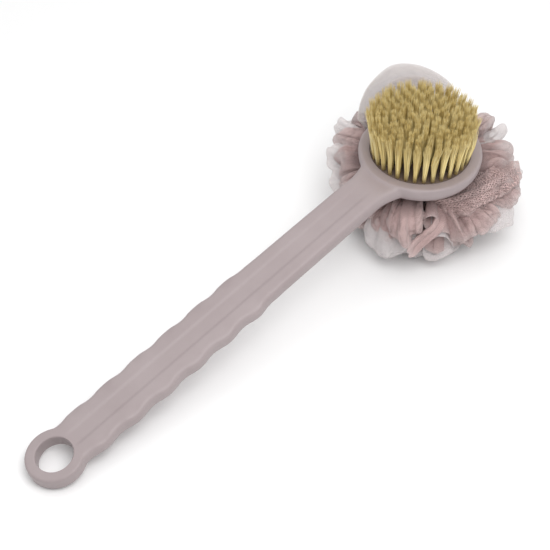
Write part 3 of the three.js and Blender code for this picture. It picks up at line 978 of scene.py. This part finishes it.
def kept_clear(grid):
    """Keeps netting out of the head, the neck's swing and the ground."""
    x, y, z = np.moveaxis(grid, -1, 0)
    radius = np.hypot(x, y) + 1e-6
    # The head: under its back, or outside its wall.
    below = HEAD_BACK_Z - 2.0
    wall = np.interp(z, [below, HEAD_BACK_Z, HEAD_BACK_Z + 4.5, CREST_Z + 1, CREST_Z + 9],
                     [0, 35.0, 40.0, 40.4, 37.5])
    inside = (z > below) & (radius < wall)
    down = z - below
    out = wall - radius
    go_down = inside & ((down < out) | (radius < 33))
    z = np.where(go_down, below - 0.12 * down, z)
    scale = np.where(inside & ~go_down, wall / radius, 1)
    x, y = x * scale, y * scale
    # The neck, with the swivel's range on both sides of it.
    azimuth = np.degrees(np.arctan2(y, x))
    beside = 180 - np.abs(azimuth)
    limit = UNDER_NECK - 0.12 * np.clip(np.hypot(x, y) - HEAD_RADIUS, 0, 40)
    ceiling = limit + 60 * smoothstep(beside, NECK_CLEAR_HALF_ANGLE - 4, NECK_CLEAR_HALF_ANGLE + 10)
    z = np.where(z > ceiling, ceiling + 0.1 * np.tanh(z - ceiling), z)
    # The ground: what would go lower is packed into the layer above it.
    layer = PACKED_TOP - PACKED_BOTTOM
    z = np.where(z < PACKED_TOP, PACKED_BOTTOM + layer * np.exp((z - PACKED_TOP) / layer), z)
    return np.stack([x, y, z], axis=-1)


def shadow_beside_head(grid):
    """Share of painted shadow where the netting comes up against the head's wall, in place of the head's
    shadow there.
    """
    radius = np.hypot(grid[..., 0], grid[..., 1])
    share = 1 - smoothstep(radius, HEAD_RADIUS + 1.5, HEAD_RADIUS + 7)
    return share * smoothstep(grid[..., 2], HEAD_BACK_Z - 8, HEAD_BACK_Z - 2)


def add_netting(name, petals, material, node_name):
    points, faces, cloth, edges, creases = [], [], [], [], []
    for index, (grid, flat, out, crease) in enumerate(petals):
        start = index * ACROSS * ALONG
        points.append(grid.reshape(-1, 3))
        cloth.append(flat.reshape(-1, 2))
        edges.append(out.ravel() ** EDGE_SHARPNESS)
        # Painted shade: the crease attribute darkens the netting along each crease and, as the head's
        # shadow, against the head's wall.
        creases.append(np.maximum(crease, shadow_beside_head(grid)).ravel())
        rows, columns = np.meshgrid(np.arange(ALONG - 1), np.arange(ACROSS - 1), indexing="ij")
        corner = (start + rows * ACROSS + columns).ravel()
        faces.append(np.stack([corner, corner + 1, corner + ACROSS + 1, corner + ACROSS], axis=1))
    placed = np.concatenate(points) + (HEAD_X, HEAD_Y, 0)
    piece = make_object(name, placed, np.concatenate(faces).tolist())
    layer = piece.data.uv_layers.new(name="cloth")
    corners = np.zeros(len(piece.data.loops), np.int64)
    piece.data.loops.foreach_get("vertex_index", corners)
    layer.data.foreach_set("uv", np.concatenate(cloth)[corners].ravel())
    store(piece, edge=np.concatenate(edges), crease=np.concatenate(creases))
    finish_piece(piece, material, "pouf", node_name)


def add_gathered_middle(material):
    """The bunched middle of the netting, drawn in by the cinch, with a bore for the cord."""
    turns, levels = 192, 40
    angles = np.linspace(0, 2 * np.pi, turns, endpoint=False)
    heights = np.linspace(CORE_BOTTOM, CORE_TOP, levels)
    rings = []
    for z in heights:
        away = abs(z - CINCH_HEIGHT)
        radius = CORE_WAIST + CORE_FLARE * smoothstep(away, 1.2, 7.0)
        pleat = 0.75 * np.cos(23 * angles + 0.25 * z) + 0.35 * np.cos(41 * angles - 0.4 * z)
        across = radius + pleat * (0.4 + 0.6 * smoothstep(away, 0.5, 6))
        rings.append(np.stack([across * np.cos(angles), across * np.sin(angles), np.full(turns, z)], 1))
    bore = CORE_BORE * np.cos(angles), CORE_BORE * np.sin(angles)
    for z in heights[::-1]:
        rings.append(np.stack([*bore, np.full(turns, z)], 1))
    points = np.concatenate(rings) + (HEAD_X, HEAD_Y, 0)
    faces = np.array(skin(len(rings) + 1, turns)) % len(points)
    piece = make_object("gathered_middle", points, faces.tolist())
    finish_piece(piece, material, "pouf", "gathered_core")


# Petals, listed as (azimuth, height at the gather, reach, rise, width, seed, settings of their own).

MAUVE_UPPER = [
    # Left of the head.
    (84, 37, 60, (14, 20), 26, 10, dict(cup=70, crumple=1.4)),
    (100, 36, 58, (14, 12), 34, 11, dict(loop=9, crumple=1.6, ruffle=3)),
    (118, 35, 52, (16, 8), 34, 12, dict(loop=9, crumple=1.6, ruffle=3)),
    (137, 31, 44, (14, 4), 30, 13, dict(loop=7, crumple=1.4, ruffle=3)),
    (157, 28, 40, (8, 0), 28, 14, dict(cup=40, loop=6)),
    # Front, under the coarse band.
    (-99, 33, 46, (14, -34), 20, 17, dict(cup=120, loop=4, pleats=2, tip=0.16)),
    (-90, 31, 47, (12, -32), 18, 18, dict(cup=125, loop=4, pleats=2, tip=0.14)),
    (-81, 34, 51, (12, -28), 20, 19, dict(cup=115, loop=4, pleats=2, tip=0.16)),
    (-70, 31, 52, (12, -20), 24, 26, dict(cup=95, loop=5, pleats=2, tip=0.2, crumple=1.4)),
    # Right of the head.
    (-44, 34, 57, (10, 14), 28, 20, dict(loop=9, crumple=1.6, ruffle=3, twist=14)),
    (-31, 34, 60, (12, 24), 28, 27, dict(loop=9, crumple=1.6, ruffle=3.4)),
    (-18, 35, 61, (12, 30), 28, 21, dict(loop=9, crumple=1.6, ruffle=3.4, twist=-12)),
    (-5, 40, 60, (14, 36), 24, 22, dict(crumple=1.5, ruffle=3, twist=10)),
    (9, 41, 58, (14, 42), 24, 29, dict(loop=7, crumple=1.4)),
    (28, 34, 57, (10, 12), 36, 23, dict(cup=50)),
    (54, 34, 57, (10, 10), 36, 24, dict(cup=50)),
    (78, 34, 57, (10, 10), 36, 25, dict(cup=50)),
]

MAUVE_LOWER = [
    (-176, 24, 32, (0, 0), 32, 31, dict(cup=40)),
    (-154, 25, 33, (0, -6), 30, 32, dict(cup=50)),
    (-108, 20, 27, (0, -12), 26, 34, dict(cup=90)),
    (-88, 21, 41, (0, -12), 28, 35, dict(cup=70)),
    (-66, 23, 46, (0, -8), 30, 36, {}),
    (-44, 25, 54, (2, 0), 34, 37, {}),
    (-20, 24, 54, (2, -2), 34, 38, {}),
    (4, 24, 54, (2, -4), 34, 39, {}),
    (28, 24, 52, (2, -6), 34, 40, {}),
    (52, 24, 52, (2, -6), 34, 41, {}),
    (78, 24, 52, (2, -6), 34, 42, {}),
    (102, 24, 50, (2, -6), 34, 43, {}),
    (128, 23, 44, (2, -6), 34, 44, {}),
    (153, 22, 38, (2, -6), 34, 45, {}),
    (-130, 16, 28, (-14, -10), 30, 46, dict(cup=50)),
    (-30, 15, 32, (-16, -10), 34, 47, dict(cup=50)),
    (60, 15, 32, (-16, -10), 34, 48, dict(cup=50)),
    (150, 15, 28, (-16, -10), 34, 49, dict(cup=50)),
]

WHITE_SKIRT = [
    (-136, 16, 32, (-8, -10), 34, 61, {}),
    (-84, 15, 32, (-20, -8), 30, 53, {}),
    (-54, 16, 40, (-12, -4), 32, 62, dict(cup=50)),
    (-12, 15, 34, (-18, -8), 34, 55, {}),
    (26, 16, 44, (-10, -8), 34, 56, {}),
    (62, 15, 34, (-18, -8), 34, 57, {}),
    (98, 16, 44, (-10, -8), 34, 58, {}),
    (140, 16, 38, (-12, -6), 34, 59, {}),
    (175, 14, 28, (-22, -8), 28, 60, {}),
]

TALL = dict(pleats=0, root=0.5, crumple=0.15, ruffle=0.5)

WHITE_COLLAR = [
    (52, 40, 88, (4, 98), 96, 71, dict(cup=-56, loop=3, tip=0.17, bend_at=0.74, **TALL)),
    (50, 41, 80, (4, 96), 84, 77, dict(cup=-52, loop=2, tip=0.18, bend_at=0.78, **TALL)),
    (91, 35, 67, (12, 14), 26, 72, dict(crumple=0.8)),
    (112, 31, 59, (12, 10), 30, 73, dict(crumple=0.6, tip=0.2)),
    (130, 27, 51, (10, 6), 30, 75, dict(crumple=0.6, tip=0.2)),
    (-11, 38, 63, (14, 30), 20, 74, dict(crumple=0.9)),
]

COARSE_BAND = [
    (-80, 36, 38, (12, 0), 34, 82, {}),
    (-56, 37, 47, (12, 4), 34, 83, {}),
]

# Loops in front of the head, each along its own curve of (azimuth, radius, height) stops, with its
# width, its seed and its settings.

MAUVE_DRAPES = [
    # The broad crushed loop under the rim.
    ([(-147, 8, 34), (-148, 24, 44), (-147, 37, 44), (-145, 43, 35), (-143, 41, 24)], 36, 15,
     dict(cup=80, loop=4, tip=0.42, pleats=3, crumple=1.6, ruffle=1.2)),
    # The rolled loop, open towards the front, and the strip that runs on from it.
    ([(-106, 14, 40), (-111, 24, 43), (-117, 32, 42.5), (-122.5, 41, 41)], 32, 16,
     dict(cup=192, loop=0.8, tip=0, root=0.7, pleats=1, crumple=0.3, ruffle=0.15, mouth=0.13)),
    ([(-96, 14, 36), (-106, 27, 38), (-113, 37, 38.5), (-119, 41, 35), (-127, 42.5, 31),
      (-136, 46, 26), (-142.5, 51.5, 19.5)], 11.5, 33,
     dict(cup=90, loop=1.2, tip=0.2, root=0.8, pleats=1, crumple=0.5, ruffle=0.4)),
    # The open cone beside it.
    ([(-94, 12, 38), (-103, 26, 37.5), (-111, 38, 33), (-116.5, 50, 27)], 58, 50,
     dict(cup=192, loop=0.5, tip=0, root=0.16, crumple=0.25, ruffle=0.2, mouth=0.2)),
    # The lobe under the neck.
    ([(-172, 8, 30), (-169, 27, 35), (-164, 37, 29), (-161, 40, 19)], 36, 28,
     dict(cup=55, loop=3, crumple=0.7, ruffle=0.8)),
    # Lobes at the far right.
    ([(-48, 12, 30), (-45, 36, 36), (-42, 58, 37), (-40, 68, 32)], 22, 65,
     dict(loop=6, tip=0.25, crumple=1.3)),
    ([(-58, 12, 28), (-55, 36, 33), (-52, 56, 34), (-49, 67, 29)], 22, 66,
     dict(loop=6, tip=0.25, crumple=1.3)),
]

WHITE_DRAPES = [
    ([(-94, 12, 37), (-103, 26, 36.5), (-111, 38, 32), (-117, 52.5, 25)], 66, 52,
     dict(cup=192, loop=0.5, tip=0, root=0.16, crumple=0.25, ruffle=0.2, mouth=0.2)),
    ([(-172, 8, 26), (-168, 28, 30), (-164, 41, 21), (-161, 45, 8)], 42, 51,
     dict(cup=50, loop=4, crumple=0.3, ruffle=0.6)),
    ([(-66, 12, 24), (-64, 34, 30), (-61, 54, 29), (-57, 66, 23)], 28, 54,
     dict(tip=0.2, crumple=0.2, ruffle=0.6)),
    ([(-34, 12, 28), (-33, 40, 33), (-32, 62, 37), (-31, 68, 34)], 26, 63,
     dict(cup=50, loop=4, tip=0.25, crumple=0.6)),
]

# The coarse ruffle lies round the outside of the rim.
COARSE_DRAPES = [
    ([(-116, 22, 41), (-99, 29, 44), (-83, 34.5, 46), (-68, 42, 47), (-54, 50, 48), (-42, 59, 47),
      (-33, 67, 44)], 25, 85,
     dict(tip=0.25, ruffle=1.5, folds=9)),
]


def loops(rows, **shared):
    """Petals of a table. Its shared settings hold where a row has none of its own."""
    return [petal(*place, **{**shared, **more}) for *place, more in rows]


def drapes(rows):
    return [draped(*place, **more) for *place, more in rows]


def add_pouf():
    mauve = net_material("mauve_net", [(0.50, 0.345, 0.332), (0.62, 0.455, 0.437)], 0.65, 0.15, 0.6, 0.25)
    coarse = net_material(
        "coarse_net", [(0.58, 0.415, 0.395), (0.69, 0.515, 0.495)], 1.35, 0.15, 0.35, 0.75, 0.12)
    white = net_material("white_net", [(0.72, 0.67, 0.67), (0.82, 0.77, 0.77)], 0.6, 0.12, 0.40, 0.08)
    add_gathered_middle(mauve)
    upper = loops(MAUVE_UPPER, cup=60, loop=8) + drapes(MAUVE_DRAPES)
    lower = loops(MAUVE_LOWER, cup=60)
    band = loops(COARSE_BAND, cup=30, pleats=5, crumple=1.4) + drapes(COARSE_DRAPES)
    collar = loops(WHITE_COLLAR, cup=60, loop=4)
    skirt = loops(WHITE_SKIRT, cup=40) + drapes(WHITE_DRAPES)
    add_netting("mauve_ruffles_upper", upper, mauve, "mauve_net_upper")
    add_netting("mauve_ruffles_lower", lower, mauve, "mauve_net_lower")
    add_netting("coarse_ruffle_band", band, coarse, "coarse_net_band")
    add_netting("white_ruffle_collar", collar, white, "white_net_collar")
    add_netting("white_ruffle_skirt", skirt, white, "white_net_skirt")


# ---- Scene -------------------------------------------------------------------

def main():
    bpy.context.scene.view_settings.view_transform = "Standard"
    add_camera()
    add_lights()
    add_floor()
    add_handle(handle_plastic())
    nylon = bristle_nylon()
    draw = np.random.default_rng(BRISTLE_SEED)
    for row in range(ROW_COUNT + 1):
        add_bristle_row(row, nylon, draw)
    # Pieces that stay as they are in the frame.
    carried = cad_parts
    dress(carried["bristle_plate"], plate_plastic())
    dress(carried["cord_washer"], washer_plastic())
    fibre = cord_fibre()
    for node_name in ("hanging_cord", "inner_knot", "outer_knot", "cinch_tie"):
        dress(carried[node_name], fibre)
    add_pouf()


main()
